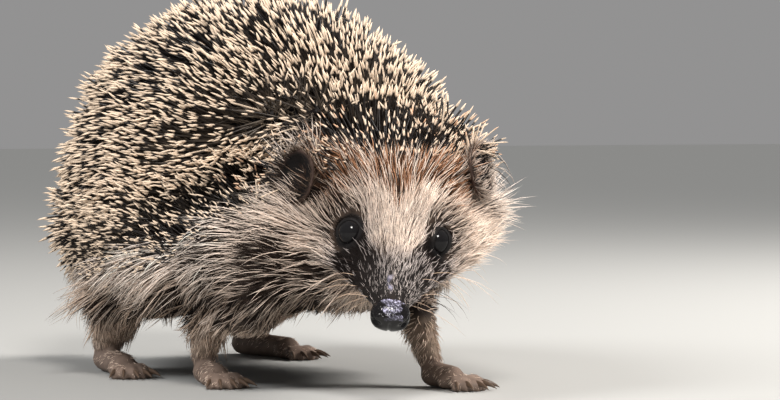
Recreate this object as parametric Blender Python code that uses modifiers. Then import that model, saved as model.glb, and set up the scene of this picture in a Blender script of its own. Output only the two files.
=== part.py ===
"""A European hedgehog in mid step, life size, as a still model.

The solids reach to the tips of the spines and the fur. The trunk, neck and head are shaped as one
body and parted with thin plane cuts. The legs, ears, tail, nose and eyes are cut to meet it.

Frame: metres, +Z up, the animal faces -Y and its left side is +X. The floor is Z = 0.
"""

import math

import bmesh
import bpy
from mathutils import Euler, Matrix, Vector

MM = 0.001
GAP = 0.3 * MM  # left between any two neighbouring solids

# Trunk, to the spine tips: a dome leaning back over a squarer skirt.
TRUNK_HALF_LENGTH = 96 * MM
TRUNK_HALF_WIDTH = 58 * MM
TRUNK_MIDDLE_Y = -8 * MM
TRUNK_WAIST_Z = 50 * MM  # height of the widest level
TRUNK_DOME = 70.5 * MM  # from the widest level up to the back
DOME_LEAN = 18 * MM  # how far the top of the back lies behind the middle
DOME_TAPER = 0.1  # how much narrower than an ellipse the top is
TRUNK_SKIRT = 39 * MM  # from the widest level down to the hem of the fur
SKIRT_SQUARENESS = 3.4  # superellipse exponent of the lower half
BELLY_HOLLOW = 9 * MM  # how far the belly rises inside the skirt
HEM_ARCH, ARCH_Y, ARCH_REACH = 5 * MM, -22 * MM, 20 * MM  # the hem rises behind the foreleg
CHEST_TUCK = 0.45  # how much of the front half is drawn back under the spines

# Head, placed by the point midway between the eyes and turned to the animal's right.
HEAD_AT = Vector((-15.4, -99.4, 46.3)) * MM
HEAD_YAW, HEAD_PITCH, HEAD_ROLL = (math.radians(a) for a in (35, 38, 7.5))

# Head sections: forward of the eyes, half width, level of the widest point, top, bottom (mm),
# and how round the upper half is (2 is an ellipse, less is more like a ridge).
HEAD_SECTIONS = (
    (-48, 24, -4, 14, -22, 2.0),
    (-38, 33, -5, 20, -26, 2.0),
    (-27, 36, -7, 20.5, -25, 2.0),
    (-16, 32, -9, 18, -23, 1.9),
    (-7, 27, -9.5, 14.5, -20, 1.75),
    (1, 21.5, -9, 10.5, -17, 1.65),
    (9, 16, -8, 6.8, -13.5, 1.65),
    (16, 11.3, -6, 3.8, -10.8, 1.8),
    (22, 8.0, -4.6, 1.8, -8.4, 2.0),
    (26, 5.6, -3.8, 0.4, -6.6, 2.0),
)
HEAD_RING_POINTS = 40
MUZZLE_END = 27.5 * MM

THROAT_AT, THROAT_RADII = Vector((-9, -65, 47)) * MM, Vector((29, 25, 28)) * MM
# The head is turned to the right: the fur bunches on that side and stretches on the other.
NECK_FOLD_AT, NECK_FOLD_RADII = Vector((-32, -44, 40)) * MM, Vector((21, 33, 25)) * MM
NECK_STRETCH_AT, NECK_STRETCH_RADII = Vector((15, -54, 58)) * MM, Vector((29, 34, 27)) * MM
NAPE_AT = Vector((-35, 0, 2)) * MM  # where the head ends, from the head's origin
NAPE_PITCH = math.radians(18)
NECK_LENGTH = 13 * MM

EYE_RADIUS = 3.7 * MM
EYE_AT = Vector((-1.0, 12.1, -0.6)) * MM  # forward, outward, up from the head's origin
EYE_HOLLOW = (Vector((0.5, 15.4, 1.2)) * MM, 4.6 * MM, 7.5 * MM)  # middle, depth, reach
EAR_HOLLOW = (Vector((-15, 28, 4)) * MM, 6.5 * MM, 9 * MM)
HOLLOW_DIRECTION = Vector((0.25, 0.9, 0.35))
NOSE_AT = Vector((28.2, 0, -3.9)) * MM
NOSE_RADII = (4.2 * MM, 5.4 * MM, 4.6 * MM)
NOSTRIL_AT = Vector((30.6, 4.5, -4.2)) * MM
NOSTRIL_RADII = (1.7 * MM, 1.5 * MM, 1.1 * MM)

LEFT_EAR_AT = Vector((-20.5, 24.8, 8.6)) * MM  # the ears are pricked unevenly
RIGHT_EAR_AT = Vector((-20.5, -28, 4)) * MM
EAR_TILT = (math.radians(8), math.radians(-22), math.radians(58))  # of the left ear's flap
EAR_HALF_WIDTH, EAR_HALF_HEIGHT, EAR_HALF_THICKNESS = 7.6 * MM, 9 * MM, 1.4 * MM
EAR_CUP = 3.2 * MM  # how deeply the flap is cupped

# Joints of each limb from the top down: (across, along, up) in mm, with the radius there.
LEFT_FORELEG = (((20, -38, 48), 12), ((25, -46, 28), 6.6), ((21.5, -62, 11), 3.7))
RIGHT_FORELEG = (((-26, -44, 48), 12), ((-33, -32, 30), 8), ((-31, -18, 11), 4.0))
LEFT_HINDLEG = (((29, 36, 48), 18), ((39, 40, 30), 11.5), ((33, 66, 11), 5.2))
RIGHT_HINDLEG = (((-29, 32, 48), 18), ((-40, 12, 30), 11.5), ((-35, 35, 11), 5.2))

# Paws, toes forward: where the heel of the sole is, and which way the foot points.
LEFT_FOREPAW = Vector((21.5, -64, 0)) * MM
RIGHT_FOREPAW = Vector((-31, -20, 0)) * MM
LEFT_HINDPAW = Vector((33, 68, 0)) * MM
RIGHT_HINDPAW = Vector((-35, 37, 0)) * MM
FOREPAW_TURN, HINDPAW_TURN = math.radians(7), math.radians(12)  # toes out
FORE_SOLE, HIND_SOLE = 8.5 * MM, 22 * MM  # from the heel to the ball
FORE_PAW_RADIUS, HIND_PAW_RADIUS = 5.2 * MM, 5.4 * MM
TOE_LENGTH, CLAW_LENGTH = 8.0 * MM, 6.0 * MM
TOE_RADIUS, CLAW_RADIUS = 2.3 * MM, 1.15 * MM
TOE_COUNT, TOE_FAN = 5, math.radians(17)
SOLE_FLAT = 0.5 * MM  # how much of each sole is pressed flat on the floor

TAIL_ROOT, TAIL_TIP = Vector((0, 66, 25)) * MM, Vector((2, 93, 17)) * MM
TAIL_RADII = (6 * MM, 2.2 * MM)

BODY_VOXEL, BODY_TRIANGLES = 2.0 * MM, 3900
LIMB_VOXEL, LIMB_TRIANGLES = 0.9 * MM, 680
TAIL_TRIANGLES = 160

COLOURS = {
    "spines": ((0.23, 0.17, 0.12), 0.6),
    "fur": ((0.46, 0.37, 0.28), 0.75),
    "skin": ((0.26, 0.20, 0.17), 0.6),
    "nose": ((0.012, 0.011, 0.012), 0.2),
    "eye": ((0.006, 0.005, 0.005), 0.05),
}


def clear_scene():
    for obj in list(bpy.data.objects):
        bpy.data.objects.remove(obj)


def new_collection(name):
    collection = bpy.data.collections.new(name)
    bpy.context.scene.collection.children.link(collection)
    return collection


def material(name):
    colour, roughness = COLOURS[name]
    made = bpy.data.materials.new(name)
    made.use_nodes = True
    shader = made.node_tree.nodes["Principled BSDF"]
    shader.inputs["Base Color"].default_value = (*colour, 1)
    shader.inputs["Roughness"].default_value = roughness
    shader.inputs["Metallic"].default_value = 0
    made.diffuse_color = (*colour, 1)
    return made


# --- mesh helpers ------------------------------------------------------------------------------


def mesh_from(bm, name):
    bmesh.ops.recalc_face_normals(bm, faces=bm.faces)
    mesh = bpy.data.meshes.new(name)
    bm.to_mesh(mesh)
    bm.free()
    return mesh


def add_ellipsoid(bm, centre, radii, turn=None, segments=24, rings=14):
    """A sphere stretched to radii, turned by the 3x3 matrix turn, at centre."""
    place = Matrix.Translation(centre)
    if turn is not None:
        place = place @ turn.to_4x4()
    place = place @ Matrix.Diagonal((*radii, 1))
    bmesh.ops.create_uvsphere(bm, u_segments=segments, v_segments=rings, radius=1, matrix=place)


def add_limb(bm, start, end, start_radius, end_radius, segments=16):
    """A tapering length of limb with round ends."""
    along = end - start
    turn = along.to_track_quat("Z", "Y").to_matrix()
    place = Matrix.Translation((start + end) / 2) @ turn.to_4x4()
    bmesh.ops.create_cone(
        bm, cap_ends=True, segments=segments, radius1=start_radius, radius2=end_radius,
        depth=along.length, matrix=place,
    )
    for centre, radius in ((start, start_radius), (end, end_radius)):
        add_ellipsoid(bm, centre, (radius,) * 3, segments=segments, rings=10)


def evaluated_mesh(obj, name):
    """The object's mesh with its modifiers applied."""
    graph = bpy.context.evaluated_depsgraph_get()
    mesh = bpy.data.meshes.new_from_object(obj.evaluated_get(graph))
    mesh.name = name
    return mesh


def fused(bm, name, voxel, smoothing, triangles):
    """The shapes in bm melted into one closed skin of about that many triangles."""
    obj = bpy.data.objects.new(name, mesh_from(bm, name))
    bpy.context.scene.collection.objects.link(obj)
    remesh = obj.modifiers.new("melt", "REMESH")
    remesh.mode = "VOXEL"
    remesh.voxel_size = voxel
    smooth = obj.modifiers.new("smooth", "SMOOTH")
    smooth.iterations = smoothing
    full = evaluated_mesh(obj, name)
    full.calc_loop_triangles()
    thin = obj.modifiers.new("thin", "DECIMATE")
    thin.ratio = triangles / len(full.loop_triangles)
    mesh = evaluated_mesh(obj, name)
    bpy.data.meshes.remove(full)
    bpy.data.objects.remove(obj)
    return mesh


def cut_off(mesh, name, point, normal):
    """A closed copy of mesh without what lies beyond the plane, on the side that normal points to."""
    bm = bmesh.new()
    bm.from_mesh(mesh)
    bmesh.ops.bisect_plane(
        bm, geom=bm.verts[:] + bm.edges[:] + bm.faces[:], dist=1e-7, plane_co=point,
        plane_no=normal, clear_outer=True,
    )
    edges = [edge for edge in bm.edges if edge.is_boundary]
    bmesh.ops.holes_fill(bm, edges=edges)
    bmesh.ops.triangulate(bm, faces=[face for face in bm.faces if len(face.verts) > 4])
    return mesh_from(bm, name)


def parted(mesh, upper_name, lower_name, point, normal):
    """Two closed pieces on either side of a plane, with the usual gap between them."""
    normal = normal.normalized()
    beyond = cut_off(mesh, upper_name, point + normal * GAP / 2, -normal)
    before = cut_off(mesh, lower_name, point - normal * GAP / 2, normal)
    return beyond, before


def swollen(mesh, name, amount):
    """A copy of mesh with its skin moved outwards."""
    copy = mesh.copy()
    copy.name = name
    moved = [vertex.co + vertex.normal * amount for vertex in copy.vertices]
    for vertex, place in zip(copy.vertices, moved):
        vertex.co = place
    return copy


# --- the model ---------------------------------------------------------------------------------


class Model:
    """Holds the collections and materials, and makes the named objects."""

    def __init__(self):
        self.parts = new_collection("hedgehog")
        self.cutters = new_collection("cutters")
        self.materials = {name: material(name) for name in COLOURS}

    def part(self, name, mesh, finish):
        obj = bpy.data.objects.new(name, mesh)
        mesh.materials.clear()
        mesh.materials.append(self.materials[finish])
        mesh.shade_smooth()
        self.parts.objects.link(obj)
        return obj

    def cutter(self, name, mesh):
        obj = bpy.data.objects.new(name, mesh)
        obj.hide_render = True
        obj.display_type = "WIRE"
        self.cutters.objects.link(obj)
        return obj

    def carve(self, obj, cutter):
        cut = obj.modifiers.new("less " + cutter.name, "BOOLEAN")
        cut.operation = "DIFFERENCE"
        cut.object = cutter


def head_axes():
    """The head's forward, left and up directions."""
    level = Vector((-math.sin(HEAD_YAW), -math.cos(HEAD_YAW), 0))
    forward = level * math.cos(HEAD_PITCH) - Vector((0, 0, math.sin(HEAD_PITCH)))
    left = Vector((0, 0, 1)).cross(level)
    up = forward.cross(left)
    tilted_left = left * math.cos(HEAD_ROLL) - up * math.sin(HEAD_ROLL)
    tilted_up = up * math.cos(HEAD_ROLL) + left * math.sin(HEAD_ROLL)
    return forward, tilted_left, tilted_up


HEAD_TURN = Matrix(head_axes()).transposed()


def on_head(offset):
    """A point given as (forward, left, up) of the eyes."""
    return HEAD_AT + HEAD_TURN @ offset


def mirrored(offset, side):
    """side is 1 for the animal's left and -1 for its right."""
    return Vector((offset.x, offset.y * side, offset.z))


def power(value, exponent):
    return math.copysign(abs(value) ** exponent, value)


def ease(value, start, end):
    """Rises smoothly from 0 at start to 1 at end."""
    step = min(1, max(0, (value - start) / (end - start)))
    return step * step * (3 - 2 * step)


def add_trunk(bm):
    """An egg on its side, domed above and squarer below, with the belly drawn up inside the skirt."""
    made = bmesh.ops.create_uvsphere(bm, u_segments=64, v_segments=40, radius=1)
    for vertex in made["verts"]:
        x, y, z = vertex.co
        if y < 0:
            y *= 1 - CHEST_TUCK * ease(z, 0.55, 0.1)
        if z < 0:
            level = math.hypot(x, y)
            squarer = power(level, 2 / SKIRT_SQUARENESS) / max(level, 1e-6)
            x, y = x * squarer, y * squarer
            depth = abs(z) ** (2 / SKIRT_SQUARENESS)
            hollow = BELLY_HOLLOW * max(0, 1 - x * x * 1.4) * max(0, 1 - y * y)
            from_arch = (TRUNK_HALF_LENGTH * y + TRUNK_MIDDLE_Y - ARCH_Y) / ARCH_REACH
            hollow += HEM_ARCH * math.exp(-(from_arch**2)) * x * x
            lean, height = 0, hollow * depth**4 - TRUNK_SKIRT * depth
        else:
            x *= 1 - DOME_TAPER * z
            lean, height = DOME_LEAN * z, TRUNK_DOME * z
        across, along = TRUNK_HALF_WIDTH * x, TRUNK_HALF_LENGTH * y + TRUNK_MIDDLE_Y + lean
        vertex.co = (across, along, TRUNK_WAIST_Z + height)


def head_ring(section):
    """One cross-section of the head: forward, half width, widest level, top, bottom, roundness."""
    forward, width, level, top, bottom, roundness = section
    points = []
    for i in range(HEAD_RING_POINTS):
        angle = 2 * math.pi * i / HEAD_RING_POINTS
        exponent = 2 / (roundness if math.sin(angle) > 0 else 2)
        across = width * power(math.cos(angle), exponent)
        reach = top - level if math.sin(angle) > 0 else level - bottom
        up = level + reach * power(math.sin(angle), exponent)
        points.append(Vector((forward, across, up)) * MM)
    return points


def hollowed(point):
    """The fur is shortest round the eyes and in front of the ears, so the outline dips there."""
    for middle, depth, reach in (EYE_HOLLOW, EAR_HOLLOW):
        for side in (1, -1):
            away = point - mirrored(middle, side)
            dip = depth * math.exp(-away.length_squared / reach**2)
            point = point - mirrored(HOLLOW_DIRECTION, side) * dip
    return point


def add_head(bm):
    """A loft through the head's sections, closed at the back and at the end of the muzzle."""
    rings = []
    for section in HEAD_SECTIONS:
        points = [on_head(hollowed(point)) for point in head_ring(section)]
        rings.append([bm.verts.new(point) for point in points])
    first, last = HEAD_SECTIONS[0], HEAD_SECTIONS[-1]
    back = bm.verts.new(on_head(Vector((first[0] * MM - 4 * MM, 0, first[2] * MM))))
    tip = bm.verts.new(on_head(Vector((MUZZLE_END, 0, last[2] * MM))))
    for i in range(HEAD_RING_POINTS):
        j = (i + 1) % HEAD_RING_POINTS
        for near, far in zip(rings, rings[1:]):
            bm.faces.new((near[i], near[j], far[j], far[i]))
        bm.faces.new((rings[0][j], rings[0][i], back))
        bm.faces.new((rings[-1][i], rings[-1][j], tip))


def body_mesh():
    """Trunk, neck and head melted together."""
    bm = bmesh.new()
    add_trunk(bm)
    add_head(bm)
    add_ellipsoid(bm, THROAT_AT, THROAT_RADII)
    add_ellipsoid(bm, NECK_FOLD_AT, NECK_FOLD_RADII)
    add_ellipsoid(bm, NECK_STRETCH_AT, NECK_STRETCH_RADII)
    return fused(bm, "body", BODY_VOXEL, smoothing=9, triangles=BODY_TRIANGLES)


def leg_bm(joints):
    bm = bmesh.new()
    points = [(Vector(place) * MM, radius * MM) for place, radius in joints]
    for (start, start_radius), (end, end_radius) in zip(points, points[1:]):
        add_limb(bm, start, end, start_radius, end_radius)
    return bm


def add_paw(bm, heel, turn, sole, radius):
    """A sole with five spread toes, each with a claw. The sole dips a little below the floor."""
    heading = Matrix.Rotation(turn, 3, "Z") @ Vector((0, -1, 0))
    lift = Vector((0, 0, 1))
    ball = heel + heading * sole + lift * (radius * 0.72 - SOLE_FLAT)
    add_limb(bm, heel + lift * (radius * 0.8 - SOLE_FLAT), ball, radius * 0.8, radius * 0.72)
    across = heading.cross(lift) * radius * 0.45
    for side in (1, -1):
        add_ellipsoid(bm, ball + across * side, (radius * 0.72,) * 3)
    for i in range(TOE_COUNT):
        fan = TOE_FAN * (i - (TOE_COUNT - 1) / 2)
        toe = Matrix.Rotation(fan, 3, "Z") @ heading
        length = TOE_LENGTH * (1 - 0.22 * abs(fan) / TOE_FAN / 2)
        root = ball + toe * radius * 0.75
        root.z = TOE_RADIUS - SOLE_FLAT
        knuckle = root + toe * length * 0.55 + lift * 0.9 * MM
        tip = root + toe * length - lift * 0.2 * MM
        add_limb(bm, root, knuckle, TOE_RADIUS, TOE_RADIUS * 0.9, segments=12)
        add_limb(bm, knuckle, tip, TOE_RADIUS * 0.9, TOE_RADIUS * 0.72, segments=12)
        bend = tip + toe * CLAW_LENGTH * 0.55 + lift * 0.3 * MM
        point = tip + toe * CLAW_LENGTH - lift * 0.5 * MM
        add_limb(bm, tip, bend, CLAW_RADIUS, CLAW_RADIUS * 0.85, segments=10)
        add_limb(bm, bend, point, CLAW_RADIUS * 0.85, CLAW_RADIUS * 0.5, segments=10)


def press_on_floor(mesh):
    """Flattens what would sink into the floor, so that the sole stands on a small flat."""
    for vertex in mesh.vertices:
        if vertex.co.z < 0.25 * MM:
            vertex.co.z = 0


def make_limb(model, side, kind, joints, heel, turn, sole, radius, body_cutter):
    """One leg and its paw, parted at the wrist or ankle, the leg cut to meet the trunk."""
    bm = leg_bm(joints)
    add_paw(bm, heel, turn, sole, radius)
    whole = fused(bm, kind, LIMB_VOXEL, smoothing=3, triangles=LIMB_TRIANGLES)
    press_on_floor(whole)
    joint = Vector(joints[-1][0]) * MM - Vector((0, 0, 1.0 * MM))
    leg_name, paw_name = f"{kind}leg_{side}", f"{kind}paw_{side}"
    leg_mesh, paw_mesh = parted(whole, leg_name, paw_name, joint, Vector((0, 0, 1)))
    leg = model.part(leg_name, leg_mesh, "fur")
    model.carve(leg, body_cutter)
    model.part(paw_name, paw_mesh, "skin")


def make_limbs(model, body_cutter):
    fore = ("fore", FORE_SOLE, FORE_PAW_RADIUS)
    hind = ("hind", HIND_SOLE, HIND_PAW_RADIUS)
    limbs = (
        ("left", fore, LEFT_FORELEG, LEFT_FOREPAW, FOREPAW_TURN),
        ("right", fore, RIGHT_FORELEG, RIGHT_FOREPAW, -FOREPAW_TURN),
        ("left", hind, LEFT_HINDLEG, LEFT_HINDPAW, HINDPAW_TURN),
        ("right", hind, RIGHT_HINDLEG, RIGHT_HINDPAW, -HINDPAW_TURN),
    )
    for side, (kind, sole, radius), joints, heel, turn in limbs:
        make_limb(model, side, kind, joints, heel, turn, sole, radius, body_cutter)


def make_eyes(model, head):
    for side, name in ((1, "left"), (-1, "right")):
        centre = on_head(mirrored(EYE_AT, side))
        for purpose, radius in (("eye", EYE_RADIUS), ("socket", EYE_RADIUS + GAP)):
            bm = bmesh.new()
            add_ellipsoid(bm, centre, (radius,) * 3, HEAD_TURN, segments=14, rings=9)
            mesh = mesh_from(bm, f"{purpose}_{name}")
            if purpose == "eye":
                model.part(mesh.name, mesh, "eye")
            else:
                model.carve(head, model.cutter(mesh.name, mesh))


def make_nose(model, head):
    bm = bmesh.new()
    add_ellipsoid(bm, on_head(NOSE_AT), NOSE_RADII, HEAD_TURN, segments=16, rings=10)
    mesh = mesh_from(bm, "nose")
    model.carve(head, model.cutter("nose_seat", swollen(mesh, "nose_seat", GAP * 1.2)))
    nose = model.part("nose", mesh, "nose")
    for side, name in ((1, "left"), (-1, "right")):
        hole = bmesh.new()
        add_ellipsoid(
            hole, on_head(mirrored(NOSTRIL_AT, side)), NOSTRIL_RADII, HEAD_TURN,
            segments=10, rings=6,
        )
        model.carve(nose, model.cutter(f"nostril_{name}", mesh_from(hole, f"nostril_{name}")))


def make_ears(model, body_cutter):
    """Each ear is a rounded flap, cupped forwards and set low in the fur of the cheek."""
    for side, name, place in ((1, "left", LEFT_EAR_AT), (-1, "right", RIGHT_EAR_AT)):
        bm = bmesh.new()
        add_ellipsoid(
            bm, Vector(), (EAR_HALF_THICKNESS, EAR_HALF_WIDTH, EAR_HALF_HEIGHT),
            segments=16, rings=10,
        )
        roll, pitch, yaw = EAR_TILT
        turn = Euler((-roll * side, pitch, yaw * side)).to_matrix()
        for vertex in bm.verts:
            out = math.hypot(vertex.co.y / EAR_HALF_WIDTH, vertex.co.z / EAR_HALF_HEIGHT)
            cupped = vertex.co + Vector((EAR_CUP * (out * out - 0.5), 0, 0))
            vertex.co = on_head(place + turn @ cupped)
        ear = model.part(f"ear_{name}", mesh_from(bm, f"ear_{name}"), "skin")
        model.carve(ear, body_cutter)


def make_tail(model, body_cutter):
    bm = bmesh.new()
    add_limb(bm, TAIL_ROOT, TAIL_TIP, *TAIL_RADII, segments=14)
    mesh = fused(bm, "tail", LIMB_VOXEL, smoothing=2, triangles=TAIL_TRIANGLES)
    model.carve(model.part("tail", mesh, "fur"), body_cutter)


def make_body(model):
    """Parts the body into head, neck and trunk. Returns the head and the cutter of the whole."""
    whole = body_mesh()
    body_cutter = model.cutter("whole_body", swollen(whole, "whole_body", GAP * 1.2))
    level = Vector((-math.sin(HEAD_YAW), -math.cos(HEAD_YAW), 0))
    facing = level - Vector((0, 0, math.tan(NAPE_PITCH)))
    nape = on_head(NAPE_AT)
    head_mesh, rest = parted(whole, "head", "rest", nape, facing)
    neck_mesh, trunk_mesh = parted(rest, "neck", "trunk", nape - level * NECK_LENGTH, facing)
    head = model.part("head", head_mesh, "fur")
    model.part("neck", neck_mesh, "spines")
    model.part("trunk", trunk_mesh, "spines")
    return head, body_cutter


def centre_on_floor(model):
    """Moves the model so that the middle of its outline is over the origin."""
    bpy.context.view_layer.update()
    graph = bpy.context.evaluated_depsgraph_get()
    corners = [
        obj.matrix_world @ Vector(corner)
        for obj in model.parts.objects
        for corner in obj.evaluated_get(graph).bound_box
    ]
    middle = [(min(c[k] for c in corners) + max(c[k] for c in corners)) / 2 for k in (0, 1)]
    for obj in (*model.parts.objects, *model.cutters.objects):
        obj.location = (-middle[0], -middle[1], 0)


def main():
    clear_scene()
    model = Model()
    head, body_cutter = make_body(model)
    make_eyes(model, head)
    make_nose(model, head)
    make_ears(model, body_cutter)
    make_tail(model, body_cutter)
    make_limbs(model, body_cutter)
    centre_on_floor(model)


main()
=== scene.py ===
"""The looks of a hedgehog in mid step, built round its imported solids.

One skin replaces the solids of flesh and lies inside them by the depth of the coat. Spines, fur
and whiskers are solid tapering strands rooted on that skin. The eyes, nose and claws are separate
pieces.

Lengths are millimetres in the row frame until a mesh is made. The animal faces -Y, its left is +X.
"""

import math

import bmesh
import bpy
import numpy as np
from mathutils import Matrix, Vector
from mathutils.kdtree import KDTree

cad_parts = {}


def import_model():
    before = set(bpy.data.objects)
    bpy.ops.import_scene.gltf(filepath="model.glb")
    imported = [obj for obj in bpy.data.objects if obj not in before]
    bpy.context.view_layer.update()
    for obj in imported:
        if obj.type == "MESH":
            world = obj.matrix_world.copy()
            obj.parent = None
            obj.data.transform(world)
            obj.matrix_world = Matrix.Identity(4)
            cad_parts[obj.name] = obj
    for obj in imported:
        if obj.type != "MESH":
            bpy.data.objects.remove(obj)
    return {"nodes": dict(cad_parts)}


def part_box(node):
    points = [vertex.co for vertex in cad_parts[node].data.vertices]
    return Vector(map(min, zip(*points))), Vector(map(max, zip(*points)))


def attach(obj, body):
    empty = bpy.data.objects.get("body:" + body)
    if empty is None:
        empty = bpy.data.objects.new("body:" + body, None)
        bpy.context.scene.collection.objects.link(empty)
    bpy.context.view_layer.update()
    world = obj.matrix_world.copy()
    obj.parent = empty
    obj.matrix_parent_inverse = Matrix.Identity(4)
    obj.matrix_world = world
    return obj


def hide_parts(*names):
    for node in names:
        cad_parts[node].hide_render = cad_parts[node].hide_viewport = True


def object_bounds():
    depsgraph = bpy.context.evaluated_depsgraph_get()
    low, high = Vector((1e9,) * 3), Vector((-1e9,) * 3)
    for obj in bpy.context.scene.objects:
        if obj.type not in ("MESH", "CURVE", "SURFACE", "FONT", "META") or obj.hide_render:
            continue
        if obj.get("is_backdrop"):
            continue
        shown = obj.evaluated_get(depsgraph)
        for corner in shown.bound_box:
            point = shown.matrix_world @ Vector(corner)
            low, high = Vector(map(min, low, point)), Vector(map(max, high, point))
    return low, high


MM = 0.001
UP = Vector((0, 0, 1))
DOWN = np.array((0.0, 0.0, -1.0))
BACK = np.array((0.0, 1.0, 0.0))

# The camera stands at the animal's front right, at two thirds of its height.
CAMERA_AZIMUTH = math.radians(33)
CAMERA_DISTANCE, CAMERA_ASIDE, CAMERA_HEIGHT = 892.6, 40.0, 79.5
CAMERA_AIMS_AT_Y = 12.61  # the row frame's Y of the point that distance is measured from
CAMERA_PITCH = math.radians(1.63)
SENSOR_WIDTH, LENS = 36.0, 132.9

# Metres and watts; the fill is a sun.
KEY_SIZE, KEY_POWER, RIM_SIZE, RIM_POWER = 0.22, 9.5, 0.4, 18
FILL_STRENGTH, FILL_ANGLE, WORLD_STRENGTH = 2.3, math.radians(25), 0.33
LIGHTS_AIM = Vector((0, 0, 0.06))
FLOOR_SIZE = 12

NOSE_DROP = math.radians(6.4)  # how far below straight ahead the nose lies
# The ruff of fur behind the left ear, painted pale as painted light where the backlight glows
# through it: forward, left and up of the point between the eyes.
LEFT_RUFF = (-24.0, 33.0, 4.0)
# The ways the openings of the eyes face, and half their heights; the left eye is narrowed.
EYE_OUTWARD = {1: (0.71, 0.36, 0.60), -1: (0.74, -0.34, 0.58)}
LID_SIDES = {1: math.radians(33), -1: math.radians(60)}
# The opening of the lids is an almond: angles at the eyeball's middle from the opening's middle to
# its inner and its outer corner, and how far it slants down to the inner corner.
LID_INNER, LID_OUTER = math.radians(76), math.radians(64)
LID_SLANT = math.radians(30)
# Each point across a lid: radians beyond the opening's edge, and height over the eyeball.
LID_PROFILE = (
    (0.1, -0.5), (0.0, 0.08), (0.03, 0.34), (0.13, 0.52), (0.4, 0.56), (0.75, 0.4), (0.9, -0.5),
)
# From the middle of each ear's solid to the middle of its flap; the left ear is sunk in the fur.
EAR_SINKS = {1: (-7.6, -3.4, -4.6), -1: (1.0, 0.0, -2.5)}
EAR_ROLL, EAR_PITCH = math.radians(8), math.radians(-22)
EAR_YAWS = {1: math.radians(82), -1: math.radians(52)}  # the left ear is turned outwards
EAR_HALF_THICKNESS, EAR_HALF_WIDTH, EAR_HALF_HEIGHT, EAR_CUP = 1.0, 6.4, 8.6, 4.4
EAR_REACH = 5.5  # how far before and behind its middle the ear's cup and root reach
NOSE_HALF_SIZE, NOSE_BLUNTNESS = (4.0, 5.4, 4.3), 0.88
NOSE_BARE_RADIUS = 4.6  # no fur grows closer to the middle of the nose

# Where spines give way to fur: a hem along the flanks that rises towards the head, and a line
# across the brow. The line is the head's forward coordinate.
SPINE_HEM_Z, SPINE_HEM_RISE, SPINE_HEM_LEVEL_Y = 31.0, 0.0021, 40.0
BROW_LINE, BROW_SWEEP, BROW_HALF_WIDTH = -14.0, 12.0, 25.0
BROW_RELIEF, BROW_RELIEF_START, BROW_RELIEF_END = 40.0, 28.0, 41.0

# Legs: shoulder or hip, elbow or knee, and ankle, each with its radius.
LEGS = (
    ((20, -25, 44), 9, (25, -33, 27), 5.6, (21.5, -49, 8), 3.5),
    ((-26, -31, 44), 9, (-33, -19, 28), 6.2, (-31, -6, 8), 3.6),
    ((29, 49, 44), 14, (39, 53, 28), 9.0, (33, 80, 8), 4.2),
    ((-29, 45, 44), 14, (-40, 25, 28), 9.0, (-35, 49, 8), 4.2),
)
TAIL = (0, 76, 27), (2, 104, 17.5), 5.0, 1.5  # its ends and the radii there
SWELL = 0.7  # how far the solids are swollen to close the gaps between them
BODY_VOXEL, SKIN_VOXEL = 1.4, 0.85

# Paws: heel (x, y), degrees that the toes turn out, length from heel to ball, radius at the ball.
PAWS = {
    "forepaw_left": ((21.5, -51.2), 7, 8.5, 5.0),
    "forepaw_right": ((-31.0, -7.2), -7, 8.5, 5.0),
    "hindpaw_left": ((33.0, 80.8), 12, 22.0, 5.2),
    "hindpaw_right": ((-35.0, 49.8), -12, 22.0, 5.2),
}
TOE_FAN, TOE_LENGTH, TOE_RADIUS = math.radians(17), 8.0, 2.0
CLAW_LENGTH, CLAW_RADIUS = 5.6, 1.0

SPINE_LENGTH, SPINE_WIDTH, SPINE_SPACING = 18.0, 0.84, 1.38
ROOT_DEPTH = 0.4  # how far below the skin strands begin
LOWEST_STRAND = 0.3  # how close to the floor they come
STRAND_SHARE = 1.0
# How many hairs grow on each part, and how many places are tried for a spine.
FACE_HAIRS, HEAD_HAIRS, EAR_HAIRS, BODY_HAIRS, LEG_HAIRS, SPINE_TRIES = (
    int(count * STRAND_SHARE) for count in (17000, 24000, 3200, 19300, 5000, 60000)
)
PATCH = 0.003  # the size of a strand's patch on the unwrap
UNWRAP_MARGIN, UNWRAP_CENTRE_Z = 0.01, 45.0

BODY_NODES = ("trunk", "neck", "head", "eye_left", "eye_right", "nose")
FLESH_NODES = (
    "trunk", "neck", "head", "tail", "foreleg_left", "foreleg_right", "hindleg_left",
    "hindleg_right", "ear_left", "ear_right", *PAWS,
)


# --- small helpers ---


def unit(vectors):
    return vectors / np.maximum(np.linalg.norm(vectors, axis=-1, keepdims=True), 1e-9)


def distance(points, place):
    return np.linalg.norm(points - place, axis=1)


def ease(value, start, end):
    """Rises smoothly from 0 at start to 1 at end."""
    step = np.clip((value - start) / (end - start), 0, 1)
    return step * step * (3 - 2 * step)


def mix(first, second, share):
    return first * (1 - share) + second * share


def blend(first, second, share):
    """As mix, for colours and directions: one share for each of them."""
    return mix(first, second, np.asarray(share, float)[..., None])


def layered(base, *layers, join=blend):
    """base with layers laid over it one after another, each a value and its share."""
    for value, share in layers:
        base = join(base, value, share)
    return base


def bump(away, reach):
    """1 at no distance, falling to 0 a little beyond reach."""
    return np.exp(-((away / reach) ** 2))


def ripple(points, size, seed):
    """A smooth random field, mostly between -1 and 1, that varies over size millimetres."""
    source = np.random.default_rng(seed)
    waves = unit(source.normal(size=(14, 3))) * source.uniform(0.7, 1.5, (14, 1))
    turns = points @ waves.T * (2 * np.pi / size) + source.uniform(0, 2 * np.pi, 14)
    return np.tanh(np.sin(turns).sum(axis=1) / np.sqrt(7))


def linear(red, green, blue):
    """Display colour to the linear colour that materials use."""
    shown = np.array((red, green, blue)) / 255
    return np.where(shown <= 0.04045, shown / 12.92, ((shown + 0.055) / 1.055) ** 2.4)


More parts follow.
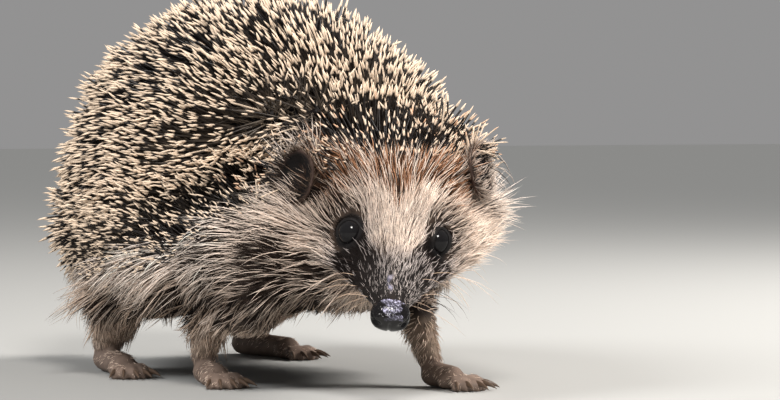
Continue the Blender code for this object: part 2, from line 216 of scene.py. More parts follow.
SPINE_CREAM = linear(246, 222, 196)
CREAM = linear(252, 234, 220)
PALE_FUR = linear(246, 224, 206)
WHITE_FUR = linear(255, 244, 234)
SILVER_FUR = linear(208, 198, 194)
BEIGE_FUR = linear(214, 186, 162)
GREY_FUR = linear(140, 124, 110)
BROWN_FUR = linear(92, 74, 60)
RUST_FUR = linear(176, 112, 64)
DARK_FUR = linear(48, 40, 37)
SPINE_BLACK = linear(26, 22, 21)
# The underfur's dark colour, also used as painted shade deep in the coat and in the gaps between
# hairs and spines.
UNDERFUR_AND_SHADE = linear(34, 28, 26)
PAW_SKIN = linear(116, 100, 90)
EAR_SKIN = linear(70, 55, 49)
# Painted shade: near black for the deep shade inside the ears' hollows.
EAR_HOLLOW_SHADE = linear(17, 14, 14)
LID_SKIN = linear(24, 22, 22)
LIP_SKIN = linear(150, 128, 122)
NOSE_BLACK = linear(15, 13, 14)
# Painted highlight: the lilac-white glints of the wet nose and of the bare strip behind it.
NOSE_GLINT_LILAC = linear(184, 181, 206)
EYE_BLACK = linear(22, 21, 22)
CLAW_HORN = linear(86, 70, 58)
FLOOR_PALE = (0.34, 0.34, 0.33)
STUDIO_GREY = (0.88, 0.87, 0.87)
WARM_LIGHT = (1.0, 0.96, 0.92)


# --- the head's own frame ---


def node_box(name):
    """The lowest and the highest corner of a solid."""
    return [np.array(corner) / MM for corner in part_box(name)]


def node_centre(name):
    low, high = node_box(name)
    return (low + high) / 2


class Head:
    """Places things by millimetres forward, left and up of the point between the eyes."""

    def __init__(self):
        left_eye, right_eye, nose = (node_centre(n) for n in ("eye_left", "eye_right", "nose"))
        self.origin = (left_eye + right_eye) / 2
        left = unit(left_eye - right_eye)
        to_nose = nose - self.origin
        to_nose = unit(to_nose - left * (to_nose @ left))
        over = np.cross(to_nose, left)
        forward = to_nose * math.cos(NOSE_DROP) + over * math.sin(NOSE_DROP)
        self.axes = np.array((forward, left, np.cross(forward, left)))
        self.eyes = (Eye(self, 1), Eye(self, -1))

    def locate(self, points):
        """Forward, left and up of points in the row frame."""
        return (points - self.origin) @ self.axes.T

    def place(self, offsets):
        return self.origin + np.asarray(offsets, float) @ self.axes

    def turn(self, directions):
        return np.asarray(directions, float) @ self.axes

    def ear(self, side):
        """Forward, left and up of the middle of an ear's flap."""
        name = "ear_left" if side > 0 else "ear_right"
        return self.locate(node_centre(name)) + EAR_SINKS[side]


class Eye:
    """An eyeball and the almond opening of its lids. side is 1 on the left and -1 on the right."""

    def __init__(self, head, side):
        self.node = "eye_left" if side > 0 else "eye_right"
        low, high = node_box(self.node)
        self.centre = (low + high) / 2
        self.radius = max(high - low) / 2
        self.out = unit(head.turn(EYE_OUTWARD[side]))
        self.half_height = LID_SIDES[side]
        slanting = head.turn((math.cos(LID_SLANT), 0, -math.sin(LID_SLANT)))
        self.inward = unit(slanting - self.out * (slanting @ self.out))
        self.over = np.cross(self.out, self.inward)

    def edge(self, turn):
        """The angle from the opening's middle to its edge, turn round from the inner corner."""
        length = mix(LID_OUTER, LID_INNER, ease(np.cos(turn), -0.3, 0.3))
        return 1 / np.hypot(np.cos(turn) / length, np.sin(turn) / self.half_height)

    def opening(self, points):
        """How far points lie from the opening's middle, as seen from the eyeball: 1 on its edge."""
        ray = unit(points - self.centre)
        turn = np.arctan2(ray @ self.over, ray @ self.inward)
        return np.arccos(np.clip(ray @ self.out, -1, 1)) / self.edge(turn)

    def on_lid(self, turn, beyond, height):
        """The point an angle beyond the opening's edge and a height over the eyeball."""
        ray = self.inward * math.cos(turn) + self.over * math.sin(turn)
        angle = float(self.edge(turn)) + beyond
        direction = self.out * math.cos(angle) + ray * math.sin(angle)
        return self.centre + direction * (self.radius + height)


class Spots:
    """Places on the skin: their points and normals, and where they lie on the head."""

    def __init__(self, points, normals, head):
        self.points, self.normals, self.head = points, normals, head
        self.height = points[:, 2]
        self.on_head = head.locate(points)
        self.forward, self.aside, self.up = self.on_head.T
        self.side = np.abs(self.aside)

    def __len__(self):
        return len(self.points)

    def pick(self, chosen):
        return Spots(self.points[chosen], self.normals[chosen], self.head)

    def away(self, landmark):
        """Distances from a landmark on the head."""
        return distance(self.on_head, landmark)


# --- where each kind of coat grows ---


def spine_margin(spots):
    """How far inside the spiny part of the coat spots lie; negative outside it."""
    rise = np.clip(SPINE_HEM_LEVEL_Y - spots.points[:, 1], 0, None)
    above = spots.height - SPINE_HEM_Z - SPINE_HEM_RISE * rise**2
    brow = BROW_LINE - BROW_SWEEP * np.clip(spots.side / BROW_HALF_WIDTH, 0, 1) ** 2
    relief = BROW_RELIEF * ease(spots.side, BROW_RELIEF_START, BROW_RELIEF_END)
    behind = brow + relief - spots.forward
    ruff = 11 * bump(spots.away(LEFT_RUFF), 15)
    return np.minimum(above, behind) + 1.5 * ripple(spots.points, 14, 3) - ruff


def headness(spots):
    """1 on the head and 0 on the chest and trunk behind it."""
    return ease(spots.side, 46, 34) * ease(spots.up, -34, -22) * ease(spots.forward, -46, -30)


def limbness(spots):
    """1 on the legs and paws, below the coat of the belly."""
    return ease(spots.height, 22, 15)


def on_tail(spots):
    """1 on the short tail, whose hair is thin and short."""
    return ease(spots.points[:, 1], 82, 88) * ease(np.abs(spots.points[:, 0] - 1), 9, 6)


def coat_depth(spots):
    """How far the skin lies under the tips of the coat."""
    places = (-34, -22, -12, -4, 4, 12, 20, 27)
    face = np.interp(spots.forward, places, (8, 7, 5, 3.4, 2.3, 1.6, 1.1, 0.6))
    margin = spine_margin(spots)
    by_eyes = [(0.9, bump(distance(spots.points, eye.centre), 6.5)) for eye in spots.head.eyes]
    return layered(
        7.5,
        (face, headness(spots)),
        (8 + 6 * ease(margin, 2, 28), ease(margin, -4, 5)),
        *by_eyes,
        (1.3, limbness(spots)),
        join=mix,
    )


# --- solids to skin ---


def add_shape(bm, shaped, segments=24, rings=14):
    """Adds a closed shape: a ball of radius 1 with each of its points moved by shaped."""
    ball = bmesh.new()
    bmesh.ops.create_uvsphere(ball, u_segments=segments, v_segments=rings, radius=1)
    for vertex in ball.verts:
        vertex.co = shaped(vertex.co)
    mesh = bpy.data.meshes.new("shape")
    ball.to_mesh(mesh)
    ball.free()
    bm.from_mesh(mesh)
    bpy.data.meshes.remove(mesh)


def add_ball(bm, centre, radii, segments=24, rings=14):
    centre, radii = Vector(centre), Vector(radii)
    add_shape(bm, lambda point: centre + point * radii, segments, rings)


def add_bone(bm, start, end, start_radius, end_radius):
    """A tapering length with round ends."""
    start, end = Vector(start), Vector(end)
    turn = (end - start).to_track_quat("Z", "Y").to_matrix()

    def shaped(point):
        if point.z > 0.01:
            return end + turn @ point * end_radius
        return start + turn @ point * start_radius

    add_shape(bm, shaped)


def add_loft(bm, rings, closed):
    """Joins rings of points. closed joins the last to the first, or else both are capped."""
    rings = [[bm.verts.new(point) for point in ring] for ring in rings]
    pairs = list(zip(rings, rings[1:]))
    if closed:
        pairs.append((rings[-1], rings[0]))
    for near, far in pairs:
        for j in range(len(near)):
            after = (j + 1) % len(near)
            bm.faces.new((near[j], near[after], far[after], far[j]))
    if not closed:
        bm.faces.new(rings[0])
        bm.faces.new(rings[-1])


def mesh_from(bm, name):
    bmesh.ops.recalc_face_normals(bm, faces=bm.faces)
    mesh = bpy.data.meshes.new(name)
    bm.to_mesh(mesh)
    bm.free()
    return mesh


def read_vectors(collection, field):
    flat = np.empty(len(collection) * 3, np.float32)
    collection.foreach_get(field, flat)
    return flat.reshape(-1, 3).astype(float)


def mesh_points(mesh):
    return read_vectors(mesh.vertices, "co")


def mesh_normals(mesh):
    return read_vectors(mesh.vertex_normals, "vector")


def set_points(mesh, points):
    mesh.vertices.foreach_set("co", points.astype(np.float32).ravel())
    mesh.update()


def add_object(name, data, matrix=None):
    obj = bpy.data.objects.new(name, data)
    bpy.context.scene.collection.objects.link(obj)
    if matrix is not None:
        obj.matrix_world = matrix
    return obj


def melted(bm, voxel, smoothing):
    """The closed shapes in bm as one skin, made of voxels that size. Empties bm."""
    mesh = mesh_from(bm, "melting")
    obj = add_object("melting", mesh)
    remesh = obj.modifiers.new("melt", "REMESH")
    remesh.mode = "VOXEL"
    remesh.voxel_size = voxel
    remesh.adaptivity = 0
    smooth = obj.modifiers.new("smooth", "SMOOTH")
    smooth.iterations = smoothing
    graph = bpy.context.evaluated_depsgraph_get()
    made = bpy.data.meshes.new_from_object(obj.evaluated_get(graph))
    bpy.data.objects.remove(obj)
    bpy.data.meshes.remove(mesh)
    return made


def sunk_by_coat(mesh, head):
    """Moves the skin in from the tips of the coat to its roots, in steps that keep it smooth."""
    depth = coat_depth(Spots(mesh_points(mesh), mesh_normals(mesh), head)) + SWELL
    steps = 5
    for _ in range(steps):
        set_points(mesh, mesh_points(mesh) - mesh_normals(mesh) * (depth / steps)[:, None])


def paw_frame(name):
    """The heel on the floor, the way the toes point, and the sole's length and radius."""
    (x, y), turn, sole, radius = PAWS[name]
    angle = math.radians(turn)
    heading = Vector((math.sin(angle), -math.cos(angle), 0))
    return Vector((x, y, 0)), heading, sole, radius


def toes(name):
    """For each toe its root, knuckle and tip, and the way it points."""
    heel, heading, sole, radius = paw_frame(name)
    ball = heel + heading * sole
    for i in range(-2, 3):
        direction = Matrix.Rotation(TOE_FAN * i, 3, "Z") @ heading
        length = TOE_LENGTH * (1 - 0.11 * abs(i))
        root = ball + direction * radius * 0.7 + UP * (TOE_RADIUS - 0.1)
        knuckle = root + direction * length * 0.5 + UP * 1.1
        tip = root + direction * length * 0.96 - UP * 0.2
        yield root, knuckle, tip, direction


def add_paw(bm, name):
    """A paw with sole pads and five jointed toes."""
    heel, heading, sole, radius = paw_frame(name)
    across = Vector((heading.y, -heading.x, 0))
    ball = heel + heading * sole + UP * (radius * 0.68)
    add_bone(bm, heel + UP * (radius * 0.76), ball, radius * 0.76, radius * 0.7)
    for side in (-1, 0, 1):
        pad = ball + across * side * radius * 0.5 - UP * (radius * 0.22)
        add_ball(bm, pad, (radius * 0.52, radius * 0.52, radius * 0.46))
    for root, knuckle, tip, _ in toes(name):
        add_bone(bm, ball, root, radius * 0.45, TOE_RADIUS)
        add_bone(bm, root, knuckle, TOE_RADIUS, TOE_RADIUS * 0.86)
        add_bone(bm, knuckle, tip, TOE_RADIUS * 0.86, TOE_RADIUS * 0.7)
        add_ball(bm, tip - UP * (TOE_RADIUS * 0.55), (1.35, 1.35, 1.1))


def ear_turn(side):
    """Turns +X to the way the ear faces."""
    return (
        Matrix.Rotation(EAR_YAWS[side] * side, 3, "Z")
        @ Matrix.Rotation(EAR_PITCH, 3, "Y")
        @ Matrix.Rotation(-EAR_ROLL * side, 3, "X")
    )


def add_ear(bm, head, side):
    """A rounded flap, cupped forwards, on a root that reaches into the head."""
    turn, middle = ear_turn(side), head.ear(side)

    def shaped(point):
        rear = ease(side * point.y, -0.6, 0.4)
        cup = EAR_CUP * (point.y**2 + point.z**2 - 0.5) * mix(0.2, 1.0, rear)
        thick = math.copysign(abs(point.x) ** 0.5, point.x) * EAR_HALF_THICKNESS
        flap = Vector((cup + thick, point.y * EAR_HALF_WIDTH, point.z * EAR_HALF_HEIGHT))
        return head.place(middle + np.array(turn @ flap))

    add_shape(bm, shaped, segments=48, rings=32)
    inside = head.place(middle + (-3, -15 * side, -6))
    back = head.place(middle + np.array(turn @ Vector((-3.2, 0, -3))))
    add_bone(bm, inside, back, 8, 4.2)


def swollen(node):
    """A copy of a solid in millimetres, every face pushed out a little."""
    bm = bmesh.new()
    bm.from_mesh(node.data)
    bmesh.ops.scale(bm, vec=(1 / MM,) * 3, verts=bm.verts)
    bmesh.ops.remove_doubles(bm, verts=bm.verts, dist=0.01)
    bm.normal_update()
    for vertex, normal in [(v, v.normal.copy()) for v in bm.verts]:
        vertex.co += normal * SWELL
    return mesh_from(bm, "swollen")


def make_skin_mesh(nodes, head):
    """Solids melted together and sunk by the coat's depth, with limbs and ears of their own."""
    bm = bmesh.new()
    for name in BODY_NODES:
        bm.from_mesh(swollen(nodes[name]))
    envelope = melted(bm, BODY_VOXEL, smoothing=4)
    sunk_by_coat(envelope, head)
    bm = bmesh.new()
    for hip, hip_radius, knee, knee_radius, ankle, ankle_radius in LEGS:
        add_bone(bm, hip, knee, hip_radius, knee_radius)
        add_bone(bm, knee, ankle, knee_radius, ankle_radius)
    add_bone(bm, *TAIL)
    for name in PAWS:
        add_paw(bm, name)
    for side in (1, -1):
        add_ear(bm, head, side)
    bm.from_mesh(envelope)
    skin = melted(bm, SKIN_VOXEL, smoothing=3)
    points = mesh_points(skin)
    points[:, 2] = np.maximum(points[:, 2], 0)
    set_points(skin, points)
    return skin


# --- making pieces ---


def new_material(name, roughness, specular):
    """A material and its shader."""
    material = bpy.data.materials.new(name)
    material.use_nodes = True
    shader = material.node_tree.nodes["Principled BSDF"]
    shader.inputs["Roughness"].default_value = roughness
    shader.inputs["Specular IOR Level"].default_value = specular
    return material, shader


def tint_material(name, roughness, specular):
    """Takes its colour from the mesh's own tint, which is worked out point by point."""
    material, shader = new_material(name, roughness, specular)
    tint = material.node_tree.nodes.new("ShaderNodeAttribute")
    tint.attribute_name = "tint"
    material.node_tree.links.new(tint.outputs["Color"], shader.inputs["Base Color"])
    return material


def plain_material(name, colour, roughness, specular=0.5):
    material, shader = new_material(name, roughness, specular)
    shader.inputs["Base Color"].default_value = (*colour, 1)
    return material


def paint(mesh, colours):
    """Stores one colour for each point of the mesh."""
    layer = mesh.color_attributes.new("tint", "FLOAT_COLOR", "POINT")
    with_alpha = np.ones((len(colours), 4), np.float32)
    with_alpha[:, :3] = np.clip(colours, 0, 1)
    layer.data.foreach_set("color", with_alpha.ravel())


def add_piece(name, mesh, material, nodes=()):
    """Shows a mesh made in millimetres, riding on the one body."""
    set_points(mesh, mesh_points(mesh) * MM)
    mesh.materials.clear()
    mesh.materials.append(material)
    mesh.shade_smooth()
    mesh.name = name
    obj = add_object(name, mesh)
    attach(obj, "root")
    if nodes:
        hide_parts(*nodes)


# --- strands ---


class Skin:
    """The skin's triangles, from which roots are drawn."""

    def __init__(self, mesh, head):
        self.spots = Spots(mesh_points(mesh), mesh_normals(mesh), head)
        mesh.calc_loop_triangles()
        corners = np.empty(len(mesh.loop_triangles) * 3, np.int32)
        mesh.loop_triangles.foreach_get("vertices", corners)
        self.triangles = corners.reshape(-1, 3)
        a, b, c = (self.spots.points[self.triangles[:, k]] for k in range(3))
        self.areas = np.linalg.norm(np.cross(b - a, c - a), axis=1) / 2
        facing = unit(self.spots.normals[self.triangles].mean(axis=1))
        self.middles = Spots((a + b + c) / 3, facing, head)

    def scatter(self, count, density, seed):
        """Roots spread over the skin, as dense as density says at the triangles' middles."""
        source = np.random.default_rng(seed)
        edges = np.cumsum(self.areas * density(self.middles))
        corners = self.triangles[np.searchsorted(edges, source.uniform(0, edges[-1], count))]
        first, second = np.sqrt(source.uniform(size=count)), source.uniform(size=count)
        shares = np.stack((1 - first, first * (1 - second), first * second), axis=1)[..., None]
        points = (self.spots.points[corners] * shares).sum(axis=1)
        normals = unit((self.spots.normals[corners] * shares).sum(axis=1))
        return Spots(points, normals, self.spots.head)


def spaced(points, spacing):
    """Indices of points, each at least its spacing away from those before it."""
    cells, kept = {}, []
    keys = np.floor(points / spacing.max()).astype(int)
    around = [(i, j, k) for i in (-1, 0, 1) for j in (-1, 0, 1) for k in (-1, 0, 1)]
    for index, (x, y, z) in enumerate(keys):
        near = [other for i, j, k in around for other in cells.get((x + i, y + j, z + k), ())]
        if near:
            gaps = ((points[near] - points[index]) ** 2).sum(axis=1)
            if gaps.min() < spacing[index] ** 2:
                continue
        cells.setdefault((x, y, z), []).append(index)
        kept.append(index)
    return np.array(kept)


def on_surface(directions, normals):
    """Directions turned to lie along the skin."""
    return unit(directions - normals * (directions * normals).sum(axis=1, keepdims=True))


def turned(headings, normals, angles):
    """Headings turned about the normals by angles."""
    aside = np.cross(normals, headings)
    return headings * np.cos(angles)[:, None] + aside * np.sin(angles)[:, None]


def centre_lines(roots, headings, bend, lengths, lift, end_lift, sag, stations):
    """Points along each strand. It leaves the skin at lift and ends at end_lift above it. Its
    heading turns by bend on the way, and sag draws its end downwards. Angles are radians."""
    first = headings * np.cos(lift)[:, None] + roots.normals * np.sin(lift)[:, None]
    end_headings = turned(headings, roots.normals, bend)
    last = end_headings * np.cos(end_lift)[:, None] + roots.normals * np.sin(end_lift)[:, None]
    last = unit(last + DOWN * sag[:, None])
    lines = [roots.points - roots.normals * ROOT_DEPTH]
    for start, end in zip(stations, stations[1:]):
        direction = unit(mix(first, last, (start + end) / 2))
        lines.append(lines[-1] + direction * (lengths * (end - start))[:, None])
    lines = np.stack(lines, axis=1)
    lines[..., 2] = np.maximum(lines[..., 2], LOWEST_STRAND)
    return lines


def nearest_guides(points, share, source):
    """For each strand the index of the lock's leading strand; one strand in every few leads."""
    guides = source.choice(len(points), max(1, int(len(points) * share)), replace=False)
    tree = KDTree(len(guides))
    for index, guide in enumerate(guides):
        tree.insert(points[guide], index)
    tree.balance()
    return guides[[tree.find(point)[1] for point in points]]


def drawn_to_locks(lines, guides, stations, strength):
    """Draws strands to the leading strand of their lock, more so towards their tips."""
    beside = (lines[:, :1] - lines[guides, :1]) * 0.25
    pull = (strength * np.asarray(stations) ** 1.3)[:, None]
    return lines * (1 - pull) + (lines[guides] + beside) * pull


def strand_topology(rings, sides):
    """Corner indices of one strand's faces, and where each face starts among them."""
    faces = []
    for ring in range(rings - 1):
        for side in range(sides):
            after = (side + 1) % sides
            low, high = ring * sides, (ring + 1) * sides
            faces.append((low + side, low + after, high + after, high + side))
    last = (rings - 1) * sides
    faces += [(last + side, last + (side + 1) % sides, rings * sides) for side in range(sides)]
    faces.append(tuple(reversed(range(sides))))
    corners = np.array([corner for face in faces for corner in face])
    starts = np.cumsum([0] + [len(face) for face in faces])[:-1]
    return corners, starts


def unwrapped(points):
    """The body rolled out flat: round its long axis, and from nose to tail, both from 0 to 1."""
    around = np.arctan2(points[:, 0], points[:, 2] - UNWRAP_CENTRE_Z) / (2 * np.pi) + 0.5
    flat = np.stack((around, points[:, 1]), axis=1)
    low, high = flat.min(axis=0), flat.max(axis=0)
    return UNWRAP_MARGIN + (flat - low) / (high - low) * (1 - 2 * UNWRAP_MARGIN - PATCH)


def strand_mesh(name, roots, lines, widths, profile, colours, sides):
    """Tapering strands as one mesh. profile is the width at each ring but the tip, colours has one
    colour for each point along each strand."""
    count, stations = lines.shape[:2]
    rings = stations - 1
    tangents = unit(np.diff(lines, axis=1))
    aside = unit(np.cross(roots.normals[:, None], tangents))
    over = np.cross(tangents, aside)
    angles = 2 * np.pi * np.arange(sides) / sides
    reach = (widths[:, None] / 2 * np.asarray(profile)[None, :])[..., None, None]
    spokes = (
        aside[:, :, None] * np.cos(angles)[None, None, :, None]
        + over[:, :, None] * np.sin(angles)[None, None, :, None]
    )
    body = (lines[:, :-1, None] + spokes * reach).reshape(count, rings * sides, 3)
    points = np.concatenate((body, lines[:, -1:]), axis=1)
    tints = np.concatenate((np.repeat(colours[:, :-1], sides, axis=1), colours[:, -1:]), axis=1)
    patch_u = np.append(np.tile(0.5 + 0.5 * np.cos(angles), rings), 0.5)
    patch_v = np.append(np.repeat(np.arange(rings) / rings, sides), 1.0)
    patch = np.stack((patch_u, patch_v), axis=1) * PATCH
    uvs = unwrapped(roots.points)[:, None] + patch[None]

    size = rings * sides + 1
    corners, starts = strand_topology(rings, sides)
    offsets = np.arange(count)[:, None]
    all_corners = (corners[None] + offsets * size).ravel()
    all_starts = (starts[None] + offsets * len(corners)).ravel()
    mesh = bpy.data.meshes.new(name)
    mesh.vertices.add(count * size)
    mesh.vertices.foreach_set("co", points.astype(np.float32).ravel())
    mesh.loops.add(len(all_corners))
    mesh.loops.foreach_set("vertex_index", all_corners.astype(np.int32))
    mesh.polygons.add(len(all_starts))
    mesh.polygons.foreach_set("loop_start", all_starts.astype(np.int32))
    mesh.update(calc_edges=True)
    layer = mesh.uv_layers.new(name="OFBake")
    layer.data.foreach_set("uv", uvs.reshape(-1, 2)[all_corners].astype(np.float32).ravel())
    paint(mesh, tints.reshape(-1, 3))
    return mesh


def add_strands(name, roots, lines, widths, profile, colours, sides, material, pieces=1):
    """Shows strands, parted from front to back into pieces."""
    parts = np.array_split(np.argsort(roots.points[:, 1]), pieces)
    for number, part in enumerate(parts, start=1):
        piece = f"{name}_{number}" if pieces > 1 else name
        mesh = strand_mesh(
            piece, roots.pick(part), lines[part], widths[part], profile, colours[part], sides
        )
        add_piece(piece, mesh, material)


# --- markings ---


def mask_share(spots):
    """The dark mask: before the eyes, down the sides of the muzzle and over its tip."""
    forward, side, up = spots.forward, spots.side, spots.up
    eye = bump(np.hypot(np.hypot(forward - 4.0, side - 10.6), up + 1.0), 6.2)
    rim = ease(np.hypot(np.hypot(forward, side - 12.5), up), 5.8, 4.6)
    # The dark rim round the eye is weaker on the left: painted light on the side the light falls
    # on.
    rim = rim * np.where(spots.aside > 0, 0.65, 1.0)
    cheek_edge = np.interp(forward, (-2, 4, 9, 16, 26), (15, 15.5, 16, 13.5, 9))
    bridge_edge = np.interp(forward, (-2, 4, 9, 13, 17), (10, 7.8, 6, 3.6, 0))
    beside = ease(side, bridge_edge - 1.5, bridge_edge + 1.5)
    beside = beside * ease(side, cheek_edge + 2, cheek_edge - 2)
    muzzle = beside * ease(forward, 0, 4) * ease(up, -12.5, -7.5)
    tip = ease(forward, 10, 16) * 0.85 * ease(up, -10, -5)
    return np.max((eye, rim, muzzle, tip), axis=0) * headness(spots)


def mouth_line(spots, reach):
    """1 along the closed mouth, low on both sides of the muzzle."""
    level = np.interp(spots.forward, (4, 12, 22), (-10.2, -8.6, -7.2))
    return bump(spots.up - level, reach) * ease(spots.forward, 5, 8) * ease(spots.forward, 25, 23)


def brow_band(spots):
    """The rusty band of the forehead under the first spines, with a point to the front, also
    darkened there as painted shade.
    """
    front = np.interp(spots.side, (0, 2.5, 6, 12, 24), (5, 0, -3.5, -5, -8))
    band = ease(spots.forward, front, front - 4.5)
    return band * ease(spots.side, 24, 16) * ease(spots.up, -4, 3)


def temple(spots):
    """Painted shade on the temple between eye and ear, stronger on the right."""
    away = np.hypot((spots.forward + 10) / 1.7, (spots.side - 22) / 1.15)
    return bump(away, 10.5) * ease(spots.up, -8, 1) * mix(1.0, 0.45, ease(spots.aside, -5, 5))


def pale_share(roots):
    """How many of the hairs at each root are pale; the others are dark."""
    left = roots.aside > 0
    # Painted shadow: fewer pale hairs low on the right cheek.
    low_cheek = ease(roots.up, -6, -14) * ease(roots.side, 8, 16) * ~left
    face = layered(
        mix(0.6, 0.8, bump(roots.side, 8)),
        (0.3, brow_band(roots)),
        (0.02, temple(roots)),
        (0.06, low_cheek),
        join=mix,
    )
    bridge = bump(roots.side, np.where(left, 8, 5.5)) * ease(roots.forward, 6, 12)
    return layered(
        # More pale hairs higher up: painted light where the light falls on the upper flank.
        mix(0.46, 0.9, ease(roots.height, 26, 44)),
        # Fewer pale hairs where the skin faces down: painted shade underneath.
        (0.14, ease(roots.normals[:, 2], -0.2, -0.8)),
        # Fewer pale hairs on the chest and throat: painted shadow of the head.
        (0.34, ease(roots.points[:, 1], -15, -40) * ease(roots.height, 60, 44)),
        (face, headness(roots)),
        (mix(np.where(left, 0.07, 0.02), 0.4, bridge), mask_share(roots)),
        # More pale hairs on the left ruff: painted light where the backlight glows through the fur.
        (0.7, bump(roots.away(LEFT_RUFF), 14)),
        (0.9, limbness(roots)),
        join=mix,
    )


def fur_colours(roots, pale, tone, source):
    """Root, middle and tip colours of the hair at each root. tone runs from 0 to 1 lock by lock."""
    count = len(roots)
    on_face, mask, limb = headness(roots), mask_share(roots), limbness(roots)
    ear = ear_shares(roots)[0]
    upper = ease(roots.height, 26, 44)
    rusty = brow_band(roots) * on_face * (source.uniform(size=count) < 0.55)
    light = layered(
        blend(BEIGE_FUR * 0.8, CREAM, tone),
        # Paler tips higher up: painted light on the upper flank.
        (blend(CREAM, WHITE_FUR, tone), upper),
        (blend(PALE_FUR, CREAM, tone), on_face * ease(roots.forward, -26, -14)),
        (mix(GREY_FUR, BEIGE_FUR, 0.4), 0.8 * temple(roots) * on_face),
        (SILVER_FUR, 0.9 * mask),
        (mix(BEIGE_FUR, PALE_FUR, 0.7), 0.9 * limb),
        # Ear hair darkened much more on the right: painted shade on the right ear, much weaker on
        # the left, which the light falls on.
        (mix(BROWN_FUR, GREY_FUR, 0.6), np.where(roots.aside > 0, 0.25, 0.9) * ear),
        (mix(RUST_FUR, BEIGE_FUR, 0.15), 0.9 * rusty),
    )
    dark = layered(
        DARK_FUR,
        (BROWN_FUR, 0.5 * source.uniform(size=count) ** 2),
        (SPINE_BLACK, 0.9 * mask),
        (RUST_FUR * 0.4, 0.6 * rusty),
        (GREY_FUR, 0.85 * limb),
        (BROWN_FUR * 0.8, 0.8 * ear),
    )
    tip = np.where(pale[:, None], light, dark) * source.uniform(0.62, 1.24, (count, 1))
    # Roots darken towards the underfur, partly as painted shade deep in the coat. On the upper
    # flank they darken less and the middles come nearer the tips: painted light there.
    flank = upper * (1 - on_face)
    root = layered(tip * 0.24, (UNDERFUR_AND_SHADE, mix(0.5, 0.25, flank)), (tip * 0.8, limb))
    return root, blend(root, tip, mix(0.62, 0.9, flank)), tip


def skin_colours(spots):
    """The skin under the coat carries the coat's markings, darker, as underfur does and as painted
    shade in the gaps of the coat.
    """
    lip = ease(spots.forward, 14, 19) * ease(spots.up, -7.5, -9) * ease(spots.height, 10, 14)
    glints = ease(ripple(spots.points, 1.6, 33), -0.5, 0.4)
    ear, hollow = ear_shares(spots)
    lids = []
    for eye in spots.head.eyes:
        near = ease(distance(spots.points, eye.centre) - eye.radius, 2.2, 0.9)
        lids.append((LID_SKIN, near * ease(eye.opening(spots.points), 2.2, 1.5)))
    colours = layered(
        UNDERFUR_AND_SHADE,
        (BROWN_FUR * 0.6, headness(spots) * ease(spots.forward, -18, 4) * 0.6),
        (SPINE_BLACK, mask_share(spots) * ease(spots.forward, -18, 4)),
        # Painted shade: the skin under the spines is nearly black for the shade between them.
        (SPINE_BLACK * 0.8, ease(spine_margin(spots), -3, 3)),
        (mix(BROWN_FUR, GREY_FUR, 0.8), limbness(spots)),
        (PAW_SKIN, ease(spots.height, 11, 7)),
        (LIP_SKIN, 0.8 * lip),
        # Painted shade along the crease of the closed mouth.
        (SPINE_BLACK * 0.6, mouth_line(spots, 0.5)),
        # Painted highlight: lilac-white glints on the bare wet strip behind the nose.
        (NOSE_GLINT_LILAC, 0.6 * bare_bridge(spots) * glints),
        (EAR_SKIN, ear),
        # Painted shade in the hollows of the ears.
        (EAR_HOLLOW_SHADE, hollow),
        *lids,
    )
    return colours * (1 + 0.15 * ripple(spots.points, 3.5, 31))[:, None]


# --- bare places ---


def bare_bridge(spots):
    """The narrow bare strip that runs back from the nose."""
    along = ease(spots.forward, 18.5, 19.5) * ease(spots.forward, 23.8, 22.8)
    return ease(np.abs(spots.aside + 0.6), 0.75, 0.35) * along * ease(spots.up, -2, 0)


def bare_lids(spots):
    """1 on the bare rims of the lids and on whatever faces the eyeball."""
    bare = np.zeros(len(spots))
    for eye in spots.head.eyes:
        away = spots.points - eye.centre
        reach = np.linalg.norm(away, axis=1)
        inward = (spots.normals * unit(away)).sum(axis=1) < 0.35
        buried = reach < eye.radius + 0.15
        rim = inward | buried | (eye.opening(spots.points) < 1.3)
        bare = np.maximum(bare, (reach < eye.radius + 1.0) & rim)
    return bare


def ear_shares(spots):
    """How much spots are part of an ear, and how much they lie in its hollow, from 0 to 1."""
    part, hollow = np.zeros(len(spots)), np.zeros(len(spots))
    for side in (1, -1):
        axes = np.array(ear_turn(side)).T
        local = (spots.on_head - spots.head.ear(side)) @ axes.T
        oval = local / (EAR_REACH, EAR_HALF_WIDTH, EAR_HALF_HEIGHT)
        near = ease(np.linalg.norm(oval, axis=1), 1.3, 1.12)
        facing = ease(spots.normals @ spots.head.turn(axes[0]), 0.1, 0.5)
        facing = facing * ease(local[:, 0], -7, -4)
        facing = facing * ease(np.hypot(oval[:, 1], oval[:, 2]), 0.98, 0.8)
        part = np.maximum(part, near)
        hollow = np.maximum(hollow, near * facing)
    return part, hollow


def head_density(spots):
    """Where the head's fur grows: not on the eyes, lids, ears, nose or among the spines."""
    on_nose = distance(spots.points, node_centre("nose")) < NOSE_BARE_RADIUS
    ears, mouth = ear_shares(spots)[0], mouth_line(spots, 0.6)
    bare = (bare_lids(spots), ears, on_nose, bare_bridge(spots), mouth)
    overlap = 2 + 9 * bump(spots.away(spots.head.ear(-1)), 15)
    return headness(spots) * (spine_margin(spots) < overlap) * (1 - np.max(bare, axis=0))


def lash_share(roots):
    """1 close round the eyes, where the hair is shortest."""
    away = [distance(roots.points, eye.centre) - eye.radius for eye in roots.head.eyes]
    return ease(np.min(away, axis=0), 4.2, 1.4)


# --- the lie of the coat ---


